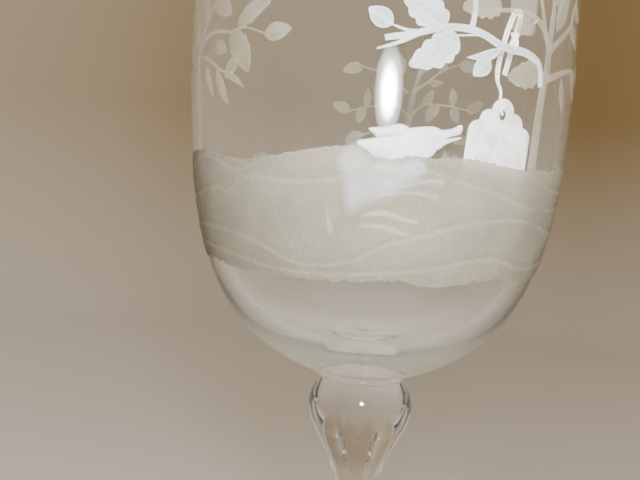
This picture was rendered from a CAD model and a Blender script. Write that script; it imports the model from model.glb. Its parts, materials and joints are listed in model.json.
import json
import math
import random

import bpy
import numpy as np
from mathutils import Matrix, Vector
from mathutils.geometry import delaunay_2d_cdt


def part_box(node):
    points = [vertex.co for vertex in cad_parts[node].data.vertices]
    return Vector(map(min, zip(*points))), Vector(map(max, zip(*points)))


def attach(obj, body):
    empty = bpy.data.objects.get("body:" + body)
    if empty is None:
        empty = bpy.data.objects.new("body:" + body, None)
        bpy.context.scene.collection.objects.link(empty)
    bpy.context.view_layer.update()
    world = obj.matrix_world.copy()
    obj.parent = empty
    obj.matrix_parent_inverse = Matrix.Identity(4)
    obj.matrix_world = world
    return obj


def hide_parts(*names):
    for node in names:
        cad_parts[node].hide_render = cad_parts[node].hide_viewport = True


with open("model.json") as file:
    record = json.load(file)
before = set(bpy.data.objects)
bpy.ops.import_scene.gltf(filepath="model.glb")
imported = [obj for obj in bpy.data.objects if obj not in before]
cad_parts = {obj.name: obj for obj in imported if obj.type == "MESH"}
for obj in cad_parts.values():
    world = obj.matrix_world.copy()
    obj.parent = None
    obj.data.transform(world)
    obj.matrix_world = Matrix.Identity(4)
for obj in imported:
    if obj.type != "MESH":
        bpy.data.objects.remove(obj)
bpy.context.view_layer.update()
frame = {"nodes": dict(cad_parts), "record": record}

# Engraved drinking glass with a strung tag in its bowl. Lengths are in millimetres until a mesh is
# made, and heights on the bowl are counted from the bowl's base.
MM = 0.001


def node_mm(node):
    low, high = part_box(node)
    return np.array(low) / MM, np.array(high) / MM


BOWL_LOW, BOWL_HIGH = node_mm("bowl")
STEM_LOW, STEM_HIGH = node_mm("stem")
FOOT_HIGH = node_mm("foot")[1]
BASE_Z, RIM_Z = BOWL_LOW[2], BOWL_HIGH[2]
RIM_R = BOWL_HIGH[0]

# ---------------------------------------------------------------- camera
EYE_ABOVE_BASE = 29.2
EYE_DISTANCE = 149.0
TURNED_LEFT = math.radians(4.26)
ROLLED_LEFT = math.radians(3.35)
LENS, SENSOR = 37.2, 36.0


def make_camera():
    camera = bpy.data.objects.new("camera", bpy.data.cameras.new("camera"))
    bpy.context.scene.collection.objects.link(camera)
    camera.data.lens = LENS
    camera.data.sensor_width = SENSOR
    camera.data.clip_start = 0.005
    camera.data.clip_end = 20.0
    ahead = Vector((-math.sin(TURNED_LEFT), math.cos(TURNED_LEFT), 0))
    level = ahead.cross(Vector((0, 0, 1)))
    up = Vector((0, 0, math.cos(ROLLED_LEFT))) - level * math.sin(ROLLED_LEFT)
    camera.rotation_mode = "QUATERNION"
    camera.rotation_quaternion = Matrix((ahead.cross(up), up, -ahead)).transposed().to_quaternion()
    camera.location = Vector((0, -EYE_DISTANCE, BASE_Z + EYE_ABOVE_BASE)) * MM
    bpy.context.scene.camera = camera
    return camera


camera = make_camera()


# ---------------------------------------------------------------- small helpers
def add_object(name, data):
    piece = bpy.data.objects.new(name, data)
    bpy.context.scene.collection.objects.link(piece)
    return piece


def mesh_object(name, points_mm, faces, materials, face_slots=None, sharp_degrees=None, wrap=None):
    mesh = bpy.data.meshes.new(name)
    mesh.from_pydata((np.asarray(points_mm, float) * MM).tolist(), [], faces)
    mesh.polygons.foreach_set("use_smooth", [True] * len(mesh.polygons))
    for material in materials:
        mesh.materials.append(material)
    if face_slots is not None:
        mesh.polygons.foreach_set("material_index", face_slots)
    if wrap is not None:
        mesh.attributes.new("wrap", "FLOAT_VECTOR", "POINT").data.foreach_set("vector", np.ravel(wrap))
    mesh.update()
    if sharp_degrees is not None:
        mesh.set_sharp_from_angle(angle=math.radians(sharp_degrees))
    return add_object(name, mesh)


def bezier(p0, p1, p2, p3, count):
    t = np.linspace(0, 1, count)[:, None]
    p0, p1, p2, p3 = (np.array(p, float) for p in (p0, p1, p2, p3))
    return (1 - t) ** 3 * p0 + 3 * (1 - t) ** 2 * t * p1 + 3 * (1 - t) * t ** 2 * p2 + t ** 3 * p3


def smooth_line(points, steps=6, closed=False):
    """Catmull-Rom curve through the points."""
    p = np.array(points, float)
    if closed:
        p = np.vstack([p[-1], p, p[0], p[1]])
    else:
        p = np.vstack([2 * p[0] - p[1], p, 2 * p[-1] - p[-2]])
    t = (np.arange(steps) / steps)[:, None]
    out = []
    for a, b, c, d in zip(p, p[1:], p[2:], p[3:]):
        out.append(0.5 * (2 * b + (c - a) * t + (2 * a - 5 * b + 4 * c - d) * t ** 2
                          + (3 * b - a - 3 * c + d) * t ** 3))
    line = np.vstack(out)
    return line if closed else np.vstack([line, p[-2]])


# ---------------------------------------------------------------- materials
class Nodes:
    """Short way to write a node tree."""

    def __init__(self, name):
        self.material = bpy.data.materials.new(name)
        self.material.use_nodes = True
        self.tree = self.material.node_tree
        self.tree.nodes.clear()
        self.output = self.add("ShaderNodeOutputMaterial")

    def add(self, kind, inputs=None, **settings):
        node = self.tree.nodes.new(kind)
        for key, value in settings.items():
            setattr(node, key, value)
        for key, value in (inputs or {}).items():
            if isinstance(value, bpy.types.NodeSocket):
                self.tree.links.new(value, node.inputs[key])
            else:
                node.inputs[key].default_value = value
        return node

    def noise(self, scale, detail=3.0, rough=0.5):
        where = self.add("ShaderNodeTexCoord").outputs["Object"]
        return self.add("ShaderNodeTexNoise",
                        {"Vector": where, "Scale": scale, "Detail": detail, "Roughness": rough})

    def ramp(self, value, stops):
        node = self.add("ShaderNodeValToRGB", {"Fac": value})
        elements = node.color_ramp.elements
        while len(elements) < len(stops):
            elements.new(0.5)
        for element, (place, colour) in zip(elements, stops):
            element.position = place
            element.color = (*colour, 1) if isinstance(colour, tuple) else (colour, colour, colour, 1)
        return node.outputs["Color"]

    def math(self, operation, a, b):
        return self.add("ShaderNodeMath", {0: a, 1: b}, operation=operation).outputs[0]

    def bump(self, height, strength, distance_mm):
        return self.add("ShaderNodeBump", {"Height": height, "Strength": strength,
                                           "Distance": distance_mm * MM}).outputs["Normal"]

    def finish(self, shader):
        self.tree.links.new(shader, self.output.inputs["Surface"])
        return self.material


SKIN_COLOUR = (0.78, 0.73, 0.60, 1)


def clear_glass(name, ground=0.0):
    """Polished glass with the faint waviness of a hand-blown wall. Lamps shine straight through it.
    ground is how much the cut skin scatters where the ground attribute is 1."""
    n = Nodes(name)
    wave = n.bump(n.noise(28.0, 1.0).outputs["Fac"], 0.04, 1.0)
    glass = n.add("ShaderNodeBsdfPrincipled", {
        "Base Color": (0.985, 0.98, 0.96, 1), "Roughness": 0.0, "IOR": 1.5,
        "Transmission Weight": 0.99, "Normal": wave})
    through = n.add("ShaderNodeBsdfTransparent", {"Color": (0.93, 0.93, 0.91, 1)})
    shadow = n.add("ShaderNodeLightPath").outputs["Is Shadow Ray"]
    mix = n.add("ShaderNodeMixShader", {0: shadow, 1: glass.outputs[0], 2: through.outputs[0]})
    if ground:
        skin = n.add("ShaderNodeAttribute", attribute_name="ground").outputs["Fac"]
        frost = n.add("ShaderNodeBsdfTranslucent", {"Color": SKIN_COLOUR})
        white = n.add("ShaderNodeBsdfDiffuse", {"Color": SKIN_COLOUR})
        both = n.add("ShaderNodeMixShader", {0: 0.5, 1: frost.outputs[0], 2: white.outputs[0]})
        mix = n.add("ShaderNodeMixShader", {0: n.math("MULTIPLY", skin, ground), 1: mix.outputs[0],
                                            2: both.outputs[0]})
    return n.finish(mix.outputs[0])


def joined_glass():
    """Where two hot-joined pieces touch there is no surface to see."""
    n = Nodes("joined_glass")
    return n.finish(n.add("ShaderNodeBsdfTransparent").outputs[0])


def satin_engraving(name, thin, thick, grain, colour, hatch, soft=False):
    """Wheel-ground glass: white and finely granular, letting some light through.
    The wrap attribute holds mm round the bowl, mm up it, and how deeply it is cut there, 0 to 1.
    A soft cut fades away where it gets shallow."""
    n = Nodes(name)
    wrap = n.add("ShaderNodeAttribute", attribute_name="wrap").outputs["Vector"]
    depth = n.add("ShaderNodeSeparateXYZ", {"Vector": wrap}).outputs["Z"]
    fine = n.noise(grain, 4.0, 0.65).outputs["Fac"]
    cloud = n.noise(110.0, 3.0).outputs["Fac"]
    run = n.add("ShaderNodeVectorMath", {0: wrap, 1: (5.0, 0.55, 0.0)}, operation="MULTIPLY").outputs[0]
    strokes = n.add("ShaderNodeTexNoise", {"Vector": run, "Scale": 1.0, "Detail": 2.0}).outputs["Fac"]
    strokes = n.math("MULTIPLY", n.math("SUBTRACT", strokes, 0.5), hatch)
    grainy = n.math("MULTIPLY", n.math("ADD", fine, cloud), 0.5)
    deep = n.math("MULTIPLY", n.math("SUBTRACT", depth, 0.5), 0.34)
    cover = n.ramp(n.math("ADD", n.math("ADD", grainy, strokes), deep), [(0.25, thin), (0.75, thick)])
    if soft:
        cover = n.math("MULTIPLY", cover, n.ramp(depth, [(0.0, 0.0), (0.9, 1.0)]))
    rough = n.bump(n.math("ADD", fine, strokes), 0.4, 0.06)
    dark = tuple(0.80 * c for c in colour)
    tint = n.ramp(n.math("ADD", n.math("ADD", cloud, strokes), deep), [(0.28, dark), (0.68, colour)])
    front = n.add("ShaderNodeBsdfDiffuse", {"Color": tint, "Normal": rough})
    behind = n.add("ShaderNodeBsdfTranslucent", {"Color": tint, "Normal": rough})
    lit = n.add("ShaderNodeMixShader", {0: 0.30, 1: front.outputs[0], 2: behind.outputs[0]})
    clear = n.add("ShaderNodeBsdfTransparent")
    mix = n.add("ShaderNodeMixShader", {0: cover, 1: clear.outputs[0], 2: lit.outputs[0]})
    return n.finish(mix.outputs[0])


def tag_paper():
    """Smooth coated card, a little uneven in tone, with a soft gloss."""
    n = Nodes("tag_paper")
    fibre = n.noise(900.0, 6.0, 0.7).outputs["Fac"]
    cloud = n.noise(170.0, 3.0, 0.6).outputs["Fac"]
    colour = n.ramp(cloud, [(0.36, (0.50, 0.49, 0.46)), (0.47, (0.68, 0.69, 0.70)), (0.62, (0.76, 0.77, 0.79))])
    paper = n.add("ShaderNodeBsdfPrincipled", {
        "Base Color": colour, "Roughness": 0.45, "Specular IOR Level": 0.5, "Coat Weight": 0.35,
        "Coat Roughness": 0.2, "Normal": n.bump(fibre, 0.25, 0.04)})
    return n.finish(paper.outputs[0])


def white_thread():
    n = Nodes("white_thread")
    fibre = n.noise(2600.0, 4.0, 0.7).outputs["Fac"]
    colour = n.ramp(fibre, [(0.3, (0.62, 0.60, 0.55)), (0.65, (0.90, 0.89, 0.85))])
    cotton = n.add("ShaderNodeBsdfPrincipled", {
        "Base Color": colour, "Roughness": 0.85, "Sheen Weight": 0.3,
        "Normal": n.bump(fibre, 0.6, 0.05)})
    return n.finish(cotton.outputs[0])


def clear_film():
    n = Nodes("clear_adhesive")
    ripple = n.bump(n.noise(350.0, 2.0).outputs["Fac"], 0.15, 0.1)
    gloss = n.add("ShaderNodeBsdfPrincipled", {
        "Base Color": (0.95, 0.95, 0.92, 1), "Roughness": 0.12, "Normal": ripple})
    clear = n.add("ShaderNodeBsdfTransparent", {"Color": (0.98, 0.98, 0.96, 1)})
    mix = n.add("ShaderNodeMixShader", {0: 0.06, 1: clear.outputs[0], 2: gloss.outputs[0]})
    return n.finish(mix.outputs[0])


def backdrop_paint():
    """Pale floor; the wall is a warm buff behind the glass and paler towards the sides."""
    n = Nodes("backdrop")
    place = n.add("ShaderNodeTexCoord").outputs["Object"]
    where = n.add("ShaderNodeSeparateXYZ", {"Vector": place})
    angle = n.math("ARCTAN2", where.outputs["X"], where.outputs["Y"])
    share = n.math("ADD", n.math("MULTIPLY", angle, 0.5 / math.pi), 0.5)
    wall = n.ramp(share, [(0.5 + degrees / 360, colour) for degrees, colour in BACKDROP])
    low = n.add("ShaderNodeMapRange", {"Value": where.outputs["Z"], 1: 0.35, 2: -0.02, 3: 0.0, 4: 0.6})
    colour = n.add("ShaderNodeMix", {0: low.outputs[0], 6: wall, 7: (*FLOOR_COLOUR, 1)}, data_type="RGBA")
    paint = n.add("ShaderNodeBsdfPrincipled", {
        "Base Color": colour.outputs[2], "Roughness": 0.9, "Specular IOR Level": 0.1})
    return n.finish(paint.outputs[0])


BACKDROP = [(-150, (0.62, 0.56, 0.47)), (-75, (0.88, 0.84, 0.77)), (-42, (0.70, 0.62, 0.50)), (-26, (0.58, 0.49, 0.36)),
            (-12, (0.42, 0.32, 0.17)), (20, (0.34, 0.24, 0.11)), (42, (0.48, 0.39, 0.25)), (80, (0.88, 0.81, 0.69)),
            (150, (0.62, 0.56, 0.47))]
FLOOR_COLOUR = (0.71, 0.70, 0.69)


GLASS, CUT_GLASS, JOINED = clear_glass("clear_glass"), clear_glass("cut_glass", 0.5), joined_glass()
GROUND = satin_engraving("satin_ground", 0.42, 0.80, 1500.0, (0.37, 0.335, 0.255), 0.45)
FIGURE = satin_engraving("satin_figure", 0.42, 0.98, 1900.0, (0.64, 0.65, 0.66), 0.10)
FAINT = satin_engraving("satin_faint", 0.10, 0.34, 1700.0, (0.50, 0.45, 0.35), 0.12)
BRIGHT = satin_engraving("satin_bright", 0.66, 1.0, 2100.0, (0.90, 0.91, 0.92), 0.05)
SOFT = satin_engraving("satin_soft", 0.22, 0.50, 2100.0, (0.62, 0.62, 0.59), 0.10, soft=True)
PAPER, THREAD, FILM = tag_paper(), white_thread(), clear_film()


# ---------------------------------------------------------------- tag and string
joint = frame["record"]["behaviour"]["joints"][0]
HINGE = np.array(joint["pos_m"]) / MM
ACROSS = np.array(joint["axis"], float)
OUTWARD = np.array([ACROSS[1], -ACROSS[0], 0.0])
TAG_LEAN = math.radians(7.4)
UP_SLOPE = OUTWARD * math.sin(TAG_LEAN) + np.array([0, 0, math.cos(TAG_LEAN)])
FACING = np.cross(ACROSS, UP_SLOPE)
CARD_FACING = -0.1         # middle of the card, measured from the string's plane towards the wall
CARD_TOP = -15.0
CARD_W, CARD_L, CARD_T = 15.0, 24.0, 0.4
HOLE_R, HOLE_BELOW_TOP = 0.9, 2.9

STRING_ROUTE = [
    (-0.9, -11.0, -0.2), (-0.3, -6.4, 0.0), (0.35, -2.9, 0.0), (0.8, 0.0, 0.0), (-0.9, 0.0, 0.0),
    (-1.9, -2.9, 0.0), (-2.3, -6.3, -0.2), (-2.7, -9.6, -0.3), (-2.1, -12.4, -0.5),
    (-0.4, -13.6, -0.8), (-0.3, -15.8, -0.85), (0.0, -17.9, -0.1),
]


def on_slope(points):
    """From the tag's own directions (across, up its slope, towards the wall) to the frame."""
    return HINGE + np.asarray(points, float) @ np.array([ACROSS, UP_SLOPE, FACING])


def string_path():
    curve = bpy.data.curves.new("string_route", "CURVE")
    curve.dimensions = "3D"
    curve.resolution_u = 12
    spline = curve.splines.new("NURBS")
    spline.points.add(len(STRING_ROUTE) - 1)
    for point, place in zip(spline.points, on_slope(STRING_ROUTE) * MM):
        point.co = (*place, 1)
    spline.order_u = 3
    spline.use_endpoint_u = True
    route = add_object("string_route", curve)
    bpy.context.view_layer.update()
    line = bpy.data.meshes.new_from_object(route)
    points = np.array([v.co for v in line.vertices]) / MM
    bpy.data.objects.remove(route)
    bpy.data.meshes.remove(line)
    return points


def tube(path, radius, sides=8):
    """Closed round tube along points; radius is one number or one per point."""
    path = np.asarray(path, float)
    radius = np.broadcast_to(radius, len(path))
    ahead = np.gradient(path, axis=0)
    ahead /= np.linalg.norm(ahead, axis=1)[:, None]
    side = np.cross(ahead[0], FACING + 0.01)
    rings = []
    for place, direction, r in zip(path, ahead, radius):
        side = side - direction * side.dot(direction)
        side /= np.linalg.norm(side)
        other = np.cross(direction, side)
        angle = np.arange(sides) * 2 * math.pi / sides
        rings.append(place + r * (np.cos(angle)[:, None] * side + np.sin(angle)[:, None] * other))
    points = np.vstack(rings)
    faces = []
    for k in range(len(path) - 1):
        for j in range(sides):
            a, b = k * sides + j, k * sides + (j + 1) % sides
            faces.append((a, b, b + sides, a + sides))
    faces.append(tuple(range(sides))[::-1])
    faces.append(tuple(range(len(points) - sides, len(points))))
    return points, faces


def join_meshes(parts):
    points, faces, start = [], [], 0
    for p, f in parts:
        points.append(np.asarray(p, float))
        faces += [tuple(i + start for i in face) for face in f]
        start += len(p)
    return np.vstack(points), faces


def plied_thread(path, gap, ply_r, twist_mm):
    """Two parallel threads, each of two twisted plies. gap is each thread's distance from the path."""
    length = np.concatenate([[0], np.cumsum(np.linalg.norm(np.diff(path, axis=0), axis=1))])
    fine = np.linspace(0, length[-1], int(length[-1] / 0.12))
    path = np.column_stack([np.interp(fine, length, path[:, k]) for k in range(3)])
    gap = np.interp(fine, length[-1] * np.array([0, 0.75, 0.80, 1]), gap)
    ahead = np.gradient(path, axis=0)
    ahead /= np.linalg.norm(ahead, axis=1)[:, None]
    beside = np.cross(ahead, FACING)
    beside /= np.linalg.norm(beside, axis=1)[:, None]
    behind = np.cross(beside, ahead)
    parts = []
    for side in (-1, 1):
        for ply in (0, math.pi):
            turn = side * 2 * math.pi * fine / twist_mm + ply
            centre = path + beside * (side * gap)[:, None]
            off = 0.8 * ply_r * (np.cos(turn)[:, None] * beside + np.sin(turn)[:, None] * behind)
            parts.append(tube(centre + off, ply_r, 8))
    return join_meshes(parts)


def make_string():
    path = string_path()
    points, faces = plied_thread(path, [0.32, 0.32, 0.12, 0.0], 0.125, 1.3)
    piece = mesh_object("strung_thread", points, faces, [THREAD])
    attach(piece, "tag")
    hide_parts("tag_string")
    return piece, path


def make_knot():
    """An overhand knot: a trefoil of thread drawn tight round both runs of the string."""
    low, high = node_mm("string_knot")
    middle = (low + high) / 2
    turn = np.linspace(0, 2 * math.pi, 121)[:-1]
    wide = 0.24 * (np.sin(turn) + 2 * np.sin(2 * turn))
    tall = 0.46 * (np.cos(turn) - 2 * np.cos(2 * turn))
    deep = 0.36 * -np.sin(3 * turn)
    path = middle + np.outer(wide, ACROSS) + np.outer(tall, UP_SLOPE) + np.outer(deep, FACING)
    parts = []
    for ply in (0, math.pi):
        spin = 9 * turn + ply
        ring = path + 0.13 * (np.outer(np.cos(spin), ACROSS) + np.outer(np.sin(spin), FACING))
        parts.append(tube(np.vstack([ring, ring[:1]]), 0.19, 8))
    piece = mesh_object("tied_knot", *join_meshes(parts), [THREAD])
    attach(piece, "tag")
    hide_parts("string_knot")
    return piece


string_piece, string_points = make_string()
knot_piece = make_knot()


# ---------------------------------------------------------------- flat outlines filled with a fine net
def distance_to_edge(points, outline):
    """Distance of each point from a closed outline, negative outside it."""
    a, b = outline, np.roll(outline, -1, axis=0)
    run = b - a
    size = np.maximum((run ** 2).sum(1), 1e-12)
    away = points[:, None] - a[None]
    along = np.clip((away * run[None]).sum(2) / size, 0, 1)
    gap = np.sqrt(((away - along[..., None] * run[None]) ** 2).sum(2)).min(1)
    above = (a[None, :, 1] > points[:, None, 1]) != (b[None, :, 1] > points[:, None, 1])
    rise = np.where(np.abs(run[:, 1]) < 1e-12, 1e-12, run[:, 1])
    cross_x = a[None, :, 0] + (points[:, None, 1] - a[None, :, 1]) * (run[:, 0] / rise)[None]
    inside = (above & (points[:, None, 0] < cross_x)).sum(1) % 2 == 1
    return np.where(inside, gap, -gap)


def filled(outline, spacing, hole=None):
    """Triangles that fill an outline; returns the points, the faces and each point's edge distance."""
    outline = np.asarray(outline, float)
    low, high = outline.min(0), outline.max(0)
    rows = np.arange(low[1], high[1], spacing * 0.866)
    grid = np.array([(x + (k % 2) * spacing / 2, y) for k, y in enumerate(rows)
                     for x in np.arange(low[0], high[0], spacing)])
    grid = grid[distance_to_edge(grid, outline) > spacing * 0.45]
    rings = [outline]
    if hole is not None:
        rings.append(np.asarray(hole, float))
        grid = grid[distance_to_edge(grid, rings[1]) < -spacing * 0.45]
    edges, start = [], 0
    for ring in rings:
        edges += [(start + k, start + (k + 1) % len(ring)) for k in range(len(ring))]
        start += len(ring)
    given = np.vstack(rings + [grid])
    got, _, faces, _, _, _ = delaunay_2d_cdt([Vector(p) for p in given], edges, [], 1, 1e-6)
    points = np.array([tuple(p) for p in got])
    middles = np.array([points[list(f)].mean(0) for f in faces])
    keep = distance_to_edge(middles, outline) > 0
    if hole is not None:
        keep &= distance_to_edge(middles, rings[1]) < 0
    faces = [tuple(f) for f, k in zip(faces, keep) if k]
    used = sorted({i for f in faces for i in f})
    renumber = {old: new for new, old in enumerate(used)}
    points = points[used]
    faces = [tuple(renumber[i] for i in f) for f in faces]
    edge = np.maximum(distance_to_edge(points, outline), 0)
    if hole is not None:
        edge = np.minimum(edge, np.abs(distance_to_edge(points, rings[1])))
    return points, faces, edge


def closed_shell(faces, count):
    """Faces of a top layer, a bottom layer of the same count of points, and the wall between them."""
    border = {}
    for face in faces:
        for a, b in zip(face, face[1:] + face[:1]):
            if (b, a) in border:
                del border[(b, a)]
            else:
                border[(a, b)] = True
    under = [tuple(i + count for i in face[::-1]) for face in faces]
    wall = [(b, a, a + count, b + count) for a, b in border]
    return list(faces) + under + wall


def make_card():
    """Card with five scallops along its top and a punched hole."""
    lobes = [(0, 2.7, 2.7), (3.1, 4.4, 2.1), (-3.1, 4.4, 2.1), (5.5, 6.5, 2.0), (-5.5, 6.5, 2.0)]
    x = CARD_W / 2 * np.sin(np.linspace(-math.pi / 2, math.pi / 2, 121))
    reach = [np.where(np.abs(x - u) <= r, CARD_TOP - d + np.sqrt(np.maximum(r * r - (x - u) ** 2, 0)), -99)
             for u, d, r in lobes]
    top = np.column_stack([x, np.max(reach, axis=0)])
    foot, corner = CARD_TOP - CARD_L, 0.8
    turn = np.linspace(0, math.pi / 2, 7)
    right = np.column_stack([CARD_W / 2 - corner + corner * np.cos(turn), foot + corner - corner * np.sin(turn)])
    left = right[::-1] * [-1, 1]
    side = np.linspace(top[-1, 1], foot + corner, 14)[1:-1]
    outline = np.vstack([top, np.column_stack([np.full(12, CARD_W / 2), side]), right, left,
                         np.column_stack([np.full(12, -CARD_W / 2), side[::-1]])])
    angle = np.linspace(0, 2 * math.pi, 33)[:-1]
    hole = np.column_stack([HOLE_R * np.cos(angle), CARD_TOP - HOLE_BELOW_TOP + HOLE_R * np.sin(angle)])
    flat, faces, edge = filled(outline[::-1], 0.55, hole)
    half = CARD_T / 2 * (1 - 0.35 * np.exp(-edge / 0.12))
    curl = 0.10 * (flat[:, 0] / 7.5) ** 2 * np.sin((flat[:, 1] - CARD_TOP) / CARD_L * 2)
    facing = CARD_FACING + curl
    front = on_slope(np.column_stack([flat, facing + half]))
    back = on_slope(np.column_stack([flat, facing - half]))
    piece = mesh_object("price_tag_card", np.vstack([front, back]), closed_shell(faces, len(flat)),
                        [PAPER], sharp_degrees=50)
    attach(piece, "tag")
    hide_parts("tag_card")
    return piece


card_piece = make_card()

tab = frame["nodes"]["adhesive_tab"]
tab.data.materials.clear()
tab.data.materials.append(FILM)


# ---------------------------------------------------------------- turned glass
def lathe(name, profile, joined_at, columns=192, reshape=None, sharp=40, glass=GLASS):
    """Closed turned solid. profile runs from the axis round the outside and back to the axis.
    Flat faces at the heights in joined_at touch the next piece of glass."""
    profile = np.asarray(profile, float)
    rings = profile[1:-1]
    angle = np.arange(columns) * 2 * math.pi / columns
    radius = np.repeat(rings[:, :1], columns, axis=1)
    height = np.repeat(rings[:, 1:], columns, axis=1)
    if reshape is not None:
        radius = reshape(radius, height, angle[None])
    points = np.stack([radius * np.cos(angle), radius * np.sin(angle), height], axis=2).reshape(-1, 3)
    first, last = len(points), len(points) + 1
    points = np.vstack([points, (0, 0, profile[0, 1]), (0, 0, profile[-1, 1])])
    faces, slots = [], []

    def touches(z0, z1):
        return int(any(abs(z0 - z) < 1e-3 and abs(z1 - z) < 1e-3 for z in joined_at))

    for j in range(columns):
        k = (j + 1) % columns
        faces.append((first, k, j))
        slots.append(touches(profile[0, 1], rings[0, 1]))
        for i in range(len(rings) - 1):
            a, b = i * columns, (i + 1) * columns
            faces.append((a + j, a + k, b + k, b + j))
            slots.append(touches(rings[i, 1], rings[i + 1, 1]))
        top = (len(rings) - 1) * columns
        faces.append((top + j, top + k, last))
        slots.append(touches(rings[-1, 1], profile[-1, 1]))
    return mesh_object(name, points, faces, [glass, JOINED], slots, sharp)


def rounded(centre, radius, start, end, count):
    """Arc in a profile, angles in degrees from the outward direction."""
    a = np.radians(np.linspace(start, end, count))
    return np.column_stack([centre[0] + radius * np.cos(a), centre[1] + radius * np.sin(a)])


BOWL_BASE_R = 9.2
SHOULDER_R, SHOULDER_Z = RIM_R - 0.4, BASE_Z + 89.0
RIM_WALL, UPPER_WALL = 1.3, 1.8
FLOOR_Z = BASE_Z + 6.0
LIP_Z = RIM_Z - RIM_WALL / 2
OUTER_WALL = bezier((BOWL_BASE_R, BASE_Z), (BOWL_BASE_R + 27.0, BASE_Z + 9.0),
                    (SHOULDER_R, SHOULDER_Z - 62.0), (SHOULDER_R, SHOULDER_Z), 90)
INNER_WALL = bezier((SHOULDER_R - UPPER_WALL, SHOULDER_Z), (SHOULDER_R - UPPER_WALL, SHOULDER_Z - 66.0),
                    (29.3, FLOOR_Z), (0, FLOOR_Z), 90)


WRAP_R = 40.0              # places on the bowl are (mm round from the front at this radius, height)
WALL_H = np.append(OUTER_WALL[:, 1], RIM_Z) - BASE_Z
WALL_R = np.append(OUTER_WALL[:, 0], RIM_R)
WALL_TILT = np.arctan2(np.gradient(WALL_R), np.gradient(WALL_H))
SKIN = 0.015               # the engraving's inner face stands this far off the glass
# The real base is clear. Below this height the outer wall scatters a little light here, because
# light trapped in the thick glass would otherwise leave it dark.
HAZE_TOP = 14.0
HAZE = 0.7

# The ground: a satin band all round the bowl, with hill lines cut into it. Each line is a list of
# (degrees round from the front, height); heights between are eased from one to the next.
BAND_TOP = [(-180, 44.5), (-140, 46.0), (-100, 43.5), (-70, 46.0), (-52, 44.8), (-38, 42.9), (-30, 43.0), (-18, 44.2),
            (-8, 45.0), (0, 45.0), (8, 44.2), (15, 43.8), (24, 44.3), (36, 43.7), (52, 44.2), (75, 46.2), (110, 44.0),
            (145, 46.5)]
BAND_FOOT = [(-180, 23.5), (-140, 22.6), (-105, 24.2), (-66, 24.8), (-44, 23.0), (-25, 22.4), (-6, 22.4), (10, 23.0),
             (18, 22.1), (32, 23.3), (46, 24.2), (57, 23.4), (80, 24.6), (115, 22.8), (150, 23.6)]
HILLS = [
    [(-180, 38.0), (-140, 41.0), (-100, 39.5), (-60, 44.0), (-49, 43.6), (-38, 41.0), (-27, 43.2), (-10, 45.5),
     (30, 45.0), (60, 41.0), (90, 42.5), (135, 38.5)],
    [(-180, 35.0), (-130, 37.5), (-90, 36.0), (-50, 38.1), (-44, 37.1), (-34, 39.7), (-18, 38.9), (-5, 40.3),
     (4, 42.5), (25, 40.0), (50, 37.0), (80, 38.5), (120, 35.5)],
    [(-180, 31.0), (-120, 29.0), (-75, 31.5), (-40, 29.5), (-20, 25.0), (-6, 25.7), (4, 28.8), (16, 31.3), (28, 33.6),
     (45, 34.7), (70, 33.0), (100, 34.5), (140, 29.5)],
    [(-180, 27.0), (-125, 26.0), (-80, 28.0), (-52, 26.6), (-30, 24.0), (-10, 23.5), (15, 25.0), (35, 27.5),
     (55, 26.0), (90, 28.5), (135, 25.5)],
]


def round_the_bowl(knots, degrees):
    """Height of a line at some angles; the line closes on itself."""
    places = np.array(knots, float)
    closed = np.vstack([places[-2:] - [360, 0], places, places[:3] + [360, 0]])
    line = smooth_line(closed, 8)
    return np.interp(degrees, line[:, 0], line[:, 1])


def make_bowl():
    upper = np.column_stack([np.linspace(SHOULDER_R, RIM_R, 9)[1:], np.linspace(SHOULDER_Z, LIP_Z, 9)[1:]])
    lip = rounded((RIM_R - RIM_WALL / 2, LIP_Z), RIM_WALL / 2, 0, 180, 13)[1:]
    down = np.column_stack([np.linspace(RIM_R - RIM_WALL, SHOULDER_R - UPPER_WALL, 9)[1:-1],
                            np.linspace(LIP_Z, SHOULDER_Z, 9)[1:-1]])
    profile = np.vstack([(0, BASE_Z), (BOWL_BASE_R / 2, BASE_Z), OUTER_WALL, upper, lip, down, INNER_WALL])
    piece = lathe("engraved_bowl", profile, [BASE_Z], glass=CUT_GLASS)
    place = np.array([v.co for v in piece.data.vertices]) / MM
    height = place[:, 2] - BASE_Z
    degrees = np.degrees(np.arctan2(place[:, 0], -place[:, 1]))
    outside = np.hypot(place[:, 0], place[:, 1]) > np.interp(height, WALL_H, WALL_R) - 0.5
    inset = np.minimum(height - round_the_bowl(BAND_FOOT, degrees), round_the_bowl(BAND_TOP, degrees) - height)
    haze = HAZE * np.clip((HAZE_TOP - height) / HAZE_TOP, 0, 1)
    skin = np.maximum(np.clip(inset / 2.0, 0, 1), haze) * outside
    piece.data.attributes.new("ground", "FLOAT", "POINT").data.foreach_set("value", skin)
    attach(piece, "glass")
    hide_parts("bowl")


def make_merese():
    low, high = node_mm("merese")
    half = (high[2] - low[2]) / 2
    flat = high[0] - half
    edge = rounded((flat, low[2] + half), half, -90, 90, 13)
    profile = np.vstack([(0, low[2]), (flat / 2, low[2]), edge, (flat / 2, high[2]), (0, high[2])])
    piece = lathe("weld_disc", profile, [low[2], high[2]])
    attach(piece, "glass")
    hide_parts("merese")


FLUTES = 8
KNOP_R = STEM_HIGH[0]
SHAFT_R, STEM_FOOT_R = 3.9, 5.6
FLUTE_DEPTH = 0.105        # share of the radius that a flute is cut in, at its middle
FLUTE_TOP = STEM_HIGH[2] - 4.2
FLUTE_ARCH = 7.5           # height over which a flute's arched top opens to its full width


def flute(radius, height, angle):
    across = np.abs((angle / (2 * math.pi) * FLUTES + 0.5) % 1 - 0.5) * 2
    across = 1 - across
    width = np.clip((FLUTE_TOP - height) / FLUTE_ARCH, 0, 1)
    return radius * (1 - FLUTE_DEPTH * np.maximum(width - across ** 2, 0))


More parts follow.
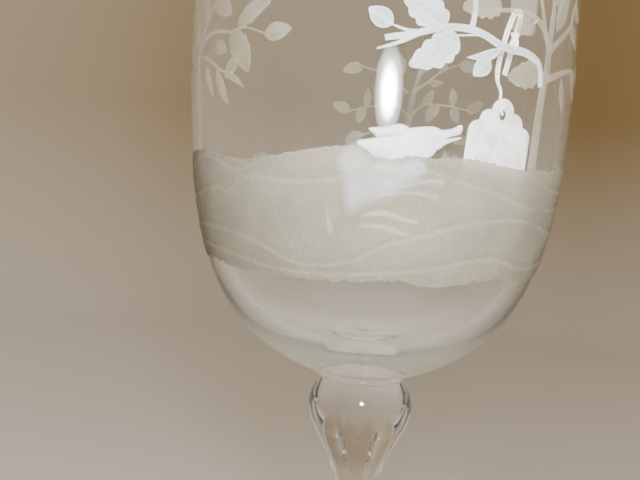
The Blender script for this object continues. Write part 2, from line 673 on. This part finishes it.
def make_stem():
    top, knop, shaft, base = STEM_HIGH[2], STEM_HIGH[2] - 6.0, STEM_HIGH[2] - 31.0, STEM_LOW[2]
    profile = np.vstack([
        (0, base), (STEM_FOOT_R / 2, base),
        bezier((STEM_FOOT_R, base), (3.6, base + 11.0), (SHAFT_R, shaft - 25.0), (SHAFT_R, shaft), 70),
        bezier((SHAFT_R, shaft), (3.6, shaft + 14.0), (KNOP_R, knop - 7.5), (KNOP_R, knop), 100)[1:],
        bezier((KNOP_R, knop), (KNOP_R, knop + 2.6), (10.2, top - 1.2), (8.7, top), 30)[1:],
        (4.35, top), (0, top)])
    piece = lathe("fluted_stem", profile, [base, top], reshape=flute, sharp=28)
    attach(piece, "glass")
    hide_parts("stem")


def make_foot():
    edge_r, hollow_r, hollow = 0.9, 30.0, 1.2
    flat, top = FOOT_HIGH[0] - edge_r, FOOT_HIGH[2]
    inside = np.linspace(0, 1, 30)[:, None]
    dish = ((1 - inside) ** 2 * np.array([0, hollow]) + 2 * inside * (1 - inside) * np.array([hollow_r / 2, hollow])
            + inside ** 2 * np.array([hollow_r, 0]))
    profile = np.vstack([
        dish, rounded((flat, edge_r), edge_r, -90, 90, 13),
        bezier((flat, 2 * edge_r), (24.0, 3.2), (9.0, 4.2), (STEM_FOOT_R, top), 60)[1:],
        (STEM_FOOT_R / 2, top), (0, top)])
    piece = lathe("round_foot", profile, [top])
    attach(piece, "glass")
    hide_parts("foot")


make_bowl()
make_merese()
make_stem()
make_foot()

# ---------------------------------------------------------------- engraving
def on_bowl(places, lift):
    places = np.asarray(places, float)
    angle = places[:, 0] / WRAP_R
    tilt = np.interp(places[:, 1], WALL_H, WALL_TILT)
    radius = np.interp(places[:, 1], WALL_H, WALL_R) + lift * np.cos(tilt)
    height = BASE_Z + places[:, 1] - lift * np.sin(tilt)
    return np.column_stack([radius * np.sin(angle), -radius * np.cos(angle), height])


class Engraving:
    """Collects cut patches and makes one piece of them."""

    def __init__(self, name, material):
        self.name, self.material, self.parts, self.wraps = name, material, [], []

    def patch(self, outline, lift=0.14, bevel=0.5, net=0.45, relief=None, rim=0.4, fade=0.0):
        """rim makes the border look cut deeper, or shallower when it is below zero. fade is the width
        over which a soft cut grows to its full depth."""
        flat, faces, edge = filled(outline, net)
        carved = relief(flat) if relief is not None else np.zeros(len(flat))
        top = np.maximum(SKIN + 0.02 + lift * (1 - np.exp(-edge / bevel)) + carved, SKIN + 0.01)
        depth = np.clip(0.6 + rim * np.exp(-edge / 0.22) + 4.0 * carved, 0, 1)
        if fade:
            depth = np.clip(edge / fade, 0, 1) ** 0.8
        self.parts.append((np.vstack([on_bowl(flat, top), on_bowl(flat, SKIN)]),
                           closed_shell(faces, len(flat))))
        self.wraps += [np.column_stack([flat, depth])] * 2

    def finish(self):
        piece = mesh_object(self.name, *join_meshes(self.parts), [self.material], sharp_degrees=60,
                            wrap=np.vstack(self.wraps))
        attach(piece, "glass")
        return piece


def stroke(engraving, points, start_w, end_w, lift=0.14, net=0.45):
    """A branch or stalk: a strip along a smooth line, tapering from one width to another."""
    line = smooth_line(points, 7)
    ahead = np.gradient(line, axis=0)
    ahead /= np.linalg.norm(ahead, axis=1)[:, None]
    side = np.column_stack([-ahead[:, 1], ahead[:, 0]])
    width = np.linspace(start_w, end_w, len(line))[:, None] / 2
    outline = np.vstack([line + side * width, (line - side * width)[::-1]])
    engraving.patch(outline, lift, max(start_w, end_w) * 0.25, net,
                    lambda p: 0.02 * np.sin(p[:, 0] * 7 + p[:, 1] * 5))


def leaf(engraving, base, tip, width, kind="lance", bend=0.0, lift=0.13, net=0.4):
    """A leaf from its stalk to its tip, with a cut midrib and side veins."""
    base, tip = np.array(base, float), np.array(tip, float)
    length = np.linalg.norm(tip - base)
    ahead = (tip - base) / length
    side = np.array([-ahead[1], ahead[0]])
    t = np.linspace(0, 1, 41)
    if kind == "oak":
        half = np.sin(math.pi * t ** 0.72) ** 0.62 * (0.80 + 0.20 * np.abs(np.sin(4.5 * math.pi * t)))
    elif kind == "round":
        half = np.sqrt(np.maximum(1 - (2 * t - 1) ** 2, 0))
    elif kind == "bud":
        half = np.sin(math.pi * t ** 0.8) ** 0.75
    else:
        half = np.sin(math.pi * t ** 0.85) ** 1.1
    curve = bend * length * 4 * t * (1 - t)
    middle = base + np.outer(t * length, ahead) + np.outer(curve, side)
    offset = np.outer(half * width / 2, side)
    outline = np.vstack([(middle + offset)[:-1], (middle - offset)[1:][::-1]])
    if kind in ("round", "bud"):
        outline = np.vstack([(middle + offset)[1:-1], tip, (middle - offset)[1:-1][::-1], base])

    def veins(p):
        along = (p - base) @ ahead / length
        out = (p - base) @ side - bend * length * 4 * along * (1 - along)
        rib = -0.10 * np.exp(-(out / 0.16) ** 2)
        if kind == "lance":
            return rib
        if kind == "bud":
            return 0.05 * np.cos(out / width * 4 * math.pi) - 0.02
        return rib + 0.035 * np.cos((along * length - 1.1 * np.abs(out)) * 2 * math.pi / 1.1)

    engraving.patch(outline, lift, 0.35, net, veins)


def shape(engraving, points, lift, bevel, net=0.45, relief=None, rim=-0.45, fade=0.0):
    engraving.patch(smooth_line(points, 5, closed=True), lift, bevel, net, relief, rim, fade)


def make_ground():
    columns, rows = 880, 56
    degrees = np.linspace(-180, 180, columns, endpoint=False)
    rng = np.random.default_rng(7)
    ragged = np.convolve(np.tile(rng.normal(0, 0.16, columns), 3), np.ones(3) / 3, "same")[columns:2 * columns]
    top = round_the_bowl(BAND_TOP, degrees) + ragged
    foot = round_the_bowl(BAND_FOOT, degrees) + 1.6 * np.roll(ragged, 37) + 0.12 * np.sin(np.radians(degrees) * 47)
    share = np.linspace(0, 1, rows)[:, None]
    heights = foot + (top - foot) * share
    places = np.stack([np.broadcast_to(np.radians(degrees) * WRAP_R, heights.shape), heights], axis=2)
    near_edge = np.minimum(heights - foot, top - heights)
    lift = SKIN + 0.03 + 0.10 * (1 - np.exp(-near_edge / 0.5))
    depth = 0.5 + 0.5 * np.exp(-near_edge / 0.3)
    for knots in HILLS:
        below = round_the_bowl(knots, degrees) - heights
        lift += 0.14 / (1 + np.exp(-below / 0.10)) * np.exp(-np.maximum(below, 0) / 2.2)
        depth += 0.5 * np.exp(-(below / 0.30) ** 2) - 0.35 * np.exp(-((below + 0.75) / 0.45) ** 2)
    strokes = np.sin(places[..., 0] * 2.1 + 3 * np.sin(heights * 0.6)) * np.sin(heights * 3.3 + places[..., 0] * 0.35)
    lift += 0.012 * strokes
    flat, count = places.reshape(-1, 2), rows * columns
    points = np.vstack([on_bowl(flat, lift.reshape(-1)), on_bowl(flat, SKIN)])
    faces = []
    for j in range(columns):
        k = (j + 1) % columns
        for i in range(rows - 1):
            a, b, c, d = i * columns + j, i * columns + k, (i + 1) * columns + k, (i + 1) * columns + j
            faces.append((a, b, c, d))
            faces.append((d + count, c + count, b + count, a + count))
        last = (rows - 1) * columns
        faces.append((k, j, j + count, k + count))
        faces.append((last + j, last + k, last + k + count, last + j + count))
    wrap = np.column_stack([flat, np.clip(depth, 0, 1).reshape(-1)])
    piece = mesh_object("engraved_ground", points, faces, [GROUND], sharp_degrees=60, wrap=np.vstack([wrap, wrap]))
    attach(piece, "glass")


make_ground()


# ---------------------------------------------------------------- running hound
def make_hound():
    """Its head and back are cut deep and white; body and legs melt into the ground round them."""
    soft = Engraving("engraved_hound_body", SOFT)
    # haunch, the whole body, flank, shoulder
    shape(soft, [(-6.9, 42.9), (-6.4, 44.3), (-5.3, 45.3), (-3.3, 45.9), (-1.5, 45.6), (-0.9, 44.2), (0.0, 43.0),
                 (-0.7, 41.7), (-2.4, 40.7), (-3.9, 40.1), (-5.5, 40.0), (-6.7, 41.3)], 0.42, 1.3, fade=1.5)
    shape(soft, [(-6.0, 43.6), (-4.0, 45.2), (-1.0, 44.6), (3.0, 44.0), (7.2, 44.2), (9.2, 42.4), (9.4, 40.4),
                 (7.6, 38.4), (4.6, 36.6), (1.4, 35.4), (-1.6, 33.6), (-3.8, 32.6), (-5.6, 35.0), (-5.8, 38.6),
                 (-6.4, 41.2)], 0.34, 0.4, fade=2.4)
    shape(soft, [(-0.6, 42.9), (1.0, 43.1), (3.1, 43.0), (4.7, 42.5), (4.6, 40.9), (3.2, 40.1), (1.4, 40.2),
                 (-0.4, 40.7), (-1.0, 41.7)], 0.46, 0.4, fade=1.1)
    shape(soft, [(4.8, 43.2), (6.9, 44.1), (8.7, 43.5), (9.5, 42.0), (8.8, 40.6), (7.0, 40.1), (5.0, 39.8),
                 (3.9, 40.9), (4.1, 42.1)], 0.46, 0.4, fade=1.0,
          relief=lambda p: 0.05 * np.sin((p[:, 0] * 0.8 - p[:, 1]) * 3.6))
    # belly, thigh
    shape(soft, [(-1.2, 41.0), (1.5, 40.9), (4.2, 40.8), (5.6, 39.6), (4.4, 38.2), (2.0, 37.6), (0.6, 37.9),
                 (-0.6, 39.2)], 0.40, 0.4, fade=1.6)
    shape(soft, [(-5.0, 40.4), (-2.6, 40.8), (-0.6, 41.2), (0.4, 39.6), (0.0, 37.8), (-0.8, 36.0), (-2.0, 34.0),
                 (-3.6, 32.4), (-5.0, 33.5), (-5.8, 36.0), (-5.6, 38.6)], 0.40, 0.4, fade=2.6)
    # two forelegs reaching ahead, two hind legs under the body, and the stump beside them
    for limb, high in (
            ([(2.2, 38.2), (4.7, 39.3), (6.5, 40.0), (8.7, 40.6), (10.8, 40.85), (12.4, 40.6), (12.8, 39.5),
              (12.1, 38.8), (11.0, 39.1), (9.4, 39.1), (7.4, 38.6), (5.4, 38.0), (3.4, 37.6)], 0.30),
            ([(0.2, 36.3), (2.3, 36.5), (4.4, 36.9), (6.8, 37.1), (9.0, 37.0), (10.4, 36.6), (11.5, 36.4),
              (11.9, 37.5), (11.5, 38.2), (9.1, 38.5), (6.7, 38.6), (4.3, 38.5), (1.3, 38.2), (0.0, 37.4)], 0.32),
            ([(-2.3, 33.0), (-0.1, 33.2), (2.1, 33.3), (3.9, 33.1), (5.2, 32.7), (6.8, 32.5), (8.3, 32.6),
              (8.6, 33.6), (7.0, 34.0), (5.4, 34.3), (3.8, 34.9), (1.8, 35.1), (-0.2, 34.8), (-2.2, 34.1)], 0.34),
            ([(-2.1, 31.4), (0.0, 31.3), (1.8, 31.2), (3.6, 30.8), (5.5, 30.3), (7.0, 30.3), (7.3, 31.3),
              (4.9, 32.0), (2.6, 32.6), (0.4, 32.8), (-2.0, 32.6)], 0.34),
            ([(-8.5, 37.2), (-8.4, 34.3), (-8.25, 31.4), (-7.8, 30.2), (-7.0, 29.9), (-6.3, 30.5), (-6.5, 31.9),
              (-7.2, 33.6), (-7.8, 35.8), (-8.1, 37.2)], 0.30)):
        shape(soft, limb, high + 0.12, 0.3, 0.3, fade=0.9)
    soft.finish()

    # back and neck, head with its muzzle turned up, lower jaw, ear laid back, eye
    head = Engraving("engraved_hound_head", BRIGHT)
    shape(head, [(-3.0, 45.8), (-0.9, 46.35), (0.8, 46.65), (3.0, 47.0), (5.2, 47.6), (6.0, 46.0), (5.6, 43.6),
                 (3.4, 42.7), (1.0, 42.8), (-0.4, 43.1), (-1.7, 44.2)], 0.36, 1.0)
    shape(head, [(3.4, 47.4), (5.3, 48.3), (6.8, 48.6), (8.9, 48.9), (10.1, 48.8), (10.9, 48.5), (12.2, 48.7),
                 (13.2, 49.1), (13.9, 49.55), (14.45, 49.55), (14.6, 49.0), (14.3, 48.2), (13.4, 47.8), (12.0, 47.3),
                 (11.5, 46.5), (10.5, 45.3), (9.7, 44.2), (8.5, 43.7), (7.2, 43.8), (5.8, 43.5), (4.9, 44.6),
                 (4.3, 46.0)], 0.40, 0.9, 0.4, relief=lambda p: -0.11 * np.exp(
              -((np.hypot(p[:, 0] - 9.7, p[:, 1] - 47.1) - 0.42) / 0.13) ** 2))
    shape(head, [(10.8, 46.6), (12.0, 47.1), (13.0, 47.35), (14.0, 47.6), (14.5, 47.45), (13.9, 47.1), (13.0, 46.8),
                 (11.7, 46.1), (10.7, 45.3), (10.2, 45.9)], 0.24, 0.35, 0.3)
    shape(head, [(-1.2, 47.95), (-0.1, 48.25), (1.5, 48.4), (3.5, 48.95), (4.6, 48.85), (5.4, 48.4), (4.9, 47.5),
                 (3.4, 46.9), (1.8, 46.7), (0.4, 46.6), (-0.4, 47.2)], 0.52, 0.5, 0.35)
    shape(head, [(9.4, 47.05), (9.55, 47.3), (9.85, 47.3), (10.0, 47.05), (9.8, 46.85), (9.55, 46.85)], 0.58, 0.2, 0.14)
    head.finish()


make_hound()


# ---------------------------------------------------------------- trees
def make_oak():
    """The tree on the hound's right. Its trunk and far twigs are cut lightly, the low branch deeply."""
    e = Engraving("engraved_oak", FAINT)
    stroke(e, [(31.8, 40.0), (31.5, 45.5), (31.4, 51.0), (31.5, 55.0), (31.9, 59.0), (32.5, 62.5), (32.4, 67.0)],
           2.6, 1.7, 0.20)
    stroke(e, [(32.4, 66.0), (30.2, 68.7), (27.7, 69.9), (24.4, 70.2), (21.8, 69.8), (18.6, 69.2)], 1.5, 0.6)
    stroke(e, [(32.5, 66.5), (32.9, 70.0), (33.1, 74.0), (32.6, 79.0), (31.0, 84.0), (31.6, 88.0)], 1.7, 0.7)
    stroke(e, [(32.4, 65.5), (30.6, 69.3), (29.3, 72.8), (27.0, 77.0), (23.5, 80.5)], 1.2, 0.5)
    stroke(e, [(33.0, 65.5), (36.8, 68.6), (40.6, 71.8), (42.6, 76.0), (46.0, 80.0)], 1.3, 0.5)
    stroke(e, [(32.6, 60.2), (36.0, 61.6), (40.0, 63.2), (44.5, 64.4), (50.0, 64.0)], 1.3, 0.6)
    for start in (30.4, 31.5, 32.7):
        stroke(e, [(start, 41.5), (start - 0.4, 36.0), (start + 0.3, 31.0), (start - 0.9, 26.5)], 0.5, 0.2, 0.12, 0.3)
    for base, tip, width, kind, bend in (
            ((20.0, 70.2), (12.8, 68.6), 5.0, "oak", -0.05), ((30.4, 61.4), (22.4, 58.6), 5.0, "oak", 0.04),
            ((27.2, 68.6), (23.2, 67.2), 3.1, "round", 0.0), ((38.4, 61.8), (41.2, 55.2), 2.2, "lance", -0.05),
            ((34.4, 69.0), (40.0, 77.4), 3.4, "lance", 0.06), ((33.4, 74.0), (38.4, 81.5), 4.2, "oak", -0.05),
            ((40.8, 72.0), (46.5, 69.0), 3.0, "oak", 0.05), ((44.0, 64.2), (50.5, 59.5), 3.6, "oak", -0.05),
            ((50.0, 64.0), (55.5, 67.0), 4.0, "oak", 0.05), ((46.0, 80.0), (51.5, 84.5), 4.4, "oak", 0.05),
            ((42.6, 76.0), (47.5, 75.0), 3.0, "bud", 0.0), ((32.2, 80.0), (36.8, 86.5), 4.2, "oak", 0.05),
            ((31.2, 84.5), (26.5, 90.0), 4.2, "oak", -0.05), ((31.6, 88.0), (34.0, 94.0), 3.8, "oak", 0.05),
            ((27.4, 76.5), (21.0, 75.0), 4.6, "oak", 0.05), ((23.5, 80.5), (17.5, 83.5), 4.6, "oak", 0.05),
            ((24.6, 79.8), (24.0, 86.0), 2.4, "lance", 0.06)):
        leaf(e, base, tip, width, kind, bend)
    e.finish()


def make_low_branch():
    """The oak's low branch, which arches across the front over the hound."""
    e = Engraving("engraved_low_branch", FIGURE)
    stroke(e, [(31.0, 58.5), (30.2, 61.8), (28.2, 63.0), (25.6, 63.5), (22.5, 63.4), (20.0, 63.8), (17.2, 64.8),
               (14.7, 65.3), (11.8, 65.3), (9.0, 64.8), (6.4, 64.0), (4.3, 63.4), (2.2, 63.0), (0.6, 62.7)],
           1.5, 1.0, 0.20, 0.35)
    stroke(e, [(5.6, 63.6), (3.6, 62.4), (1.6, 61.6), (-0.6, 60.9)], 0.9, 0.3, net=0.3)
    leaf(e, (12.4, 64.0), (4.7, 58.4), 5.4, "oak", 0.05)
    leaf(e, (10.2, 65.4), (3.2, 71.6), 5.6, "oak", 0.06)
    stroke(e, [(12.2, 64.0), (14.0, 64.3), (16.0, 64.6)], 0.35, 0.3, net=0.25)
    stroke(e, [(6.2, 64.1), (4.2, 64.1), (2.6, 64.5), (1.4, 65.0)], 0.6, 0.35, net=0.25)
    leaf(e, (1.6, 64.8), (-2.2, 67.5), 3.3, "bud")
    leaf(e, (20.6, 63.3), (14.0, 60.7), 1.5, "lance", 0.08)
    stroke(e, [(20.4, 62.6), (19.4, 61.6), (18.4, 60.8)], 0.45, 0.3, net=0.25)
    leaf(e, (18.6, 60.9), (15.6, 57.9), 3.0, "bud")
    stroke(e, [(28.6, 69.8), (27.4, 68.8)], 0.4, 0.3, net=0.25)
    stroke(e, [(14.7, 65.3), (15.0, 70.0), (12.5, 75.0), (8.0, 78.5), (3.0, 80.0)], 1.0, 0.45)
    leaf(e, (8.6, 78.2), (5.0, 73.6), 4.4, "oak", 0.05)
    leaf(e, (3.0, 80.0), (-3.5, 79.0), 4.6, "oak", 0.05)
    leaf(e, (12.6, 75.0), (16.0, 79.6), 3.0, "lance", 0.05)
    leaf(e, (5.2, 79.6), (4.4, 84.6), 3.0, "bud")
    e.finish()


def make_left_tree():
    e = Engraving("engraved_left_tree", FAINT)
    stroke(e, [(-44.0, 40.0), (-43.2, 47.0), (-43.0, 53.0), (-42.8, 59.0), (-42.4, 63.0), (-41.0, 66.5)],
           3.2, 2.0, 0.20)
    stroke(e, [(-41.6, 64.0), (-39.6, 67.0), (-37.0, 69.8), (-33.6, 72.5), (-29.5, 75.0), (-24.0, 77.0)], 1.6, 0.5)
    stroke(e, [(-41.8, 64.5), (-43.0, 70.0), (-46.0, 75.0), (-47.0, 81.0), (-45.5, 86.5)], 1.6, 0.6)
    stroke(e, [(-42.6, 60.0), (-47.0, 63.0), (-52.5, 64.6), (-58.0, 64.0)], 1.3, 0.5)
    stroke(e, [(-42.0, 63.0), (-39.6, 65.6), (-36.0, 66.8), (-32.0, 66.6), (-28.4, 65.6)], 1.1, 0.5, net=0.35)
    stroke(e, [(-42.6, 61.0), (-40.4, 63.2), (-37.0, 62.4), (-34.0, 60.9), (-31.4, 59.2)], 1.0, 0.5, net=0.35)
    leaf(e, (-31.6, 59.4), (-24.4, 55.0), 1.3, "lance", 0.05, net=0.3)
    leaf(e, (-33.2, 60.2), (-28.8, 52.4), 2.2, "lance", -0.04, net=0.3)
    leaf(e, (-37.4, 61.4), (-33.8, 54.5), 1.6, "lance", -0.04, net=0.3)
    leaf(e, (-28.4, 65.6), (-23.8, 58.0), 4.8, "oak", 0.05)
    leaf(e, (-26.6, 61.4), (-30.2, 57.6), 2.8, "lance", 0.0)
    leaf(e, (-33.6, 64.4), (-29.6, 62.6), 2.8, "bud")
    leaf(e, (-20.4, 64.2), (-15.0, 64.6), 3.2, "bud")
    stroke(e, [(-28.6, 65.8), (-25.0, 66.0), (-20.6, 64.4)], 0.5, 0.3, net=0.25)
    for base, tip, width, kind in (
            ((-26.6, 66.4), (-18.4, 70.6), 3.6, "oak"), ((-33.8, 72.4), (-28.6, 69.0), 4.0, "oak"),
            ((-24.0, 77.0), (-17.4, 75.6), 4.4, "oak"), ((-29.6, 75.0), (-27.6, 81.4), 4.2, "oak"),
            ((-37.2, 69.6), (-38.0, 75.6), 3.0, "lance"), ((-46.8, 80.0), (-41.0, 81.6), 3.8, "oak"),
            ((-45.4, 86.5), (-42.0, 92.0), 4.0, "oak"), ((-46.0, 75.0), (-52.0, 77.4), 4.0, "oak"),
            ((-58.0, 64.0), (-64.0, 66.4), 4.2, "oak"), ((-52.5, 64.6), (-55.5, 59.0), 3.8, "oak"),
            ((-47.4, 63.2), (-48.2, 69.0), 2.0, "lance")):
        leaf(e, base, tip, width, kind, 0.05)
    e.finish()


def make_far_tree():
    """Smaller tree on the side away from the hound."""
    e = Engraving("engraved_far_tree", FAINT)
    stroke(e, [(117.5, 42.0), (117.0, 52.0), (116.6, 61.0), (116.0, 68.0), (114.6, 75.0), (113.0, 82.0)],
           2.2, 1.0, 0.18)
    for side in (-1, 1):
        place = lambda s, h: (116.5 + side * s, h)
        stroke(e, [place(0.2, 64.0), place(3.6, 67.4), place(8.0, 67.4), place(12.5, 66.6), place(17.0, 65.2)],
               0.9, 0.4)
        stroke(e, [place(0.6, 71.0), place(4.6, 74.0), place(9.0, 77.0), place(14.0, 78.4)], 0.9, 0.4)
        stroke(e, [place(0.4, 55.0), place(4.0, 58.0), place(8.4, 59.4), place(13.0, 58.6)], 0.9, 0.4)
        for base, tip, width, kind in (
                ((8.0, 67.4), (5.2, 62.6), 3.6, "oak"), ((12.5, 66.6), (12.0, 72.2), 2.4, "lance"),
                ((17.0, 65.2), (22.0, 66.8), 3.6, "oak"), ((12.8, 66.4), (14.4, 61.8), 3.0, "oak"),
                ((4.0, 67.4), (6.4, 71.8), 2.6, "bud"), ((9.0, 77.0), (8.0, 82.4), 3.4, "oak"),
                ((14.0, 78.4), (19.4, 76.6), 3.6, "oak"), ((4.6, 74.0), (9.6, 73.6), 2.0, "lance"),
                ((13.0, 58.6), (17.8, 56.2), 3.4, "oak"), ((8.4, 59.4), (8.8, 54.2), 2.8, "lance"),
                ((3.0, 76.5), (3.8, 82.6), 3.2, "oak")):
            leaf(e, place(*base), place(*tip), width, kind, 0.04, net=0.5)
    e.finish()


def make_grass():
    """Tufts of short blades along the top of the ground."""
    e = Engraving("engraved_grass", FAINT)
    rng = random.Random(11)
    for degrees in (-96, -74, -30, 18, 27, 62, 84, 128, 165):
        ground = float(round_the_bowl(BAND_TOP, np.array([degrees]))[0])
        start = math.radians(degrees) * WRAP_R
        for k in range(6):
            root = (start + (k - 2.5) * 0.45, ground - 0.3)
            tip = (root[0] + rng.uniform(-0.5, 0.5), ground + rng.uniform(0.5, 1.5))
            leaf(e, root, tip, 0.28, "lance", net=0.2, lift=0.08)
    e.finish()


make_oak()
make_low_branch()
make_left_tree()
make_far_tree()
make_grass()


# ---------------------------------------------------------------- cove, flash, room light
def make_cove():
    """Pale floor that sweeps up into a round wall."""
    floor_r, sweep, wall_top = 0.75, 0.35, 1.6
    corner = rounded((floor_r, sweep), sweep, -90, 0, 24)
    profile = np.vstack([(0.001, 0), (0.2, 0), corner, (floor_r + sweep, wall_top)])
    columns = 96
    angle = np.arange(columns) * 2 * math.pi / columns
    points = np.vstack([np.column_stack([r * np.cos(angle), r * np.sin(angle), np.full(columns, z)])
                        for r, z in profile]) / MM
    faces = [(i * columns + j, i * columns + (j + 1) % columns, (i + 1) * columns + (j + 1) % columns,
              (i + 1) * columns + j) for i in range(len(profile) - 1) for j in range(columns)]
    faces.append(tuple(range(columns)))
    mesh_object("cove", points, faces, [backdrop_paint()])


FLASH = 950.0
FLASH_HALF_W, FLASH_HALF_H = 18.0, 22.0
FLASH_FROM_CAMERA = (13, 0, 34)


def make_flash():
    """Soft-edged diffuser beside the lens. It lights the glass and shows in it as the main highlight."""
    n = Nodes("flash")
    place = n.add("ShaderNodeTexCoord").outputs["Object"]
    share = (1 / (FLASH_HALF_W * MM), 1.0, 1 / (FLASH_HALF_H * MM))
    stretched = n.add("ShaderNodeVectorMath", {0: place, 1: share}, operation="MULTIPLY")
    away = n.add("ShaderNodeVectorMath", {0: stretched.outputs[0]}, operation="LENGTH").outputs["Value"]
    glow = n.ramp(away, [(0.30, 1.0), (0.42, 0.30), (0.65, 0.04), (1.0, 0.0)])
    light = n.add("ShaderNodeEmission", {"Color": (0.95, 0.98, 1.0, 1), "Strength": n.math("MULTIPLY", glow, FLASH)})
    u = np.linspace(-1, 1, 9)
    points = [(x * FLASH_HALF_W, 0, z * FLASH_HALF_H) for z in u for x in u]
    faces = [(i * 9 + j, (i + 1) * 9 + j, (i + 1) * 9 + j + 1, i * 9 + j + 1) for i in range(8) for j in range(8)]
    panel = mesh_object("flash", points, faces, [n.finish(light.outputs[0])])
    panel.location = camera.location + Vector(FLASH_FROM_CAMERA) * MM
    panel.visible_camera = False
    panel.visible_transmission = False


make_cove()
make_flash()

ROOM_COLOUR, ROOM_STRENGTH = (0.98, 0.93, 0.86, 1), 1.35
world = bpy.data.worlds.new("room")
bpy.context.scene.world = world
world.use_nodes = True
world.node_tree.nodes["Background"].inputs["Color"].default_value = ROOM_COLOUR
world.node_tree.nodes["Background"].inputs["Strength"].default_value = ROOM_STRENGTH
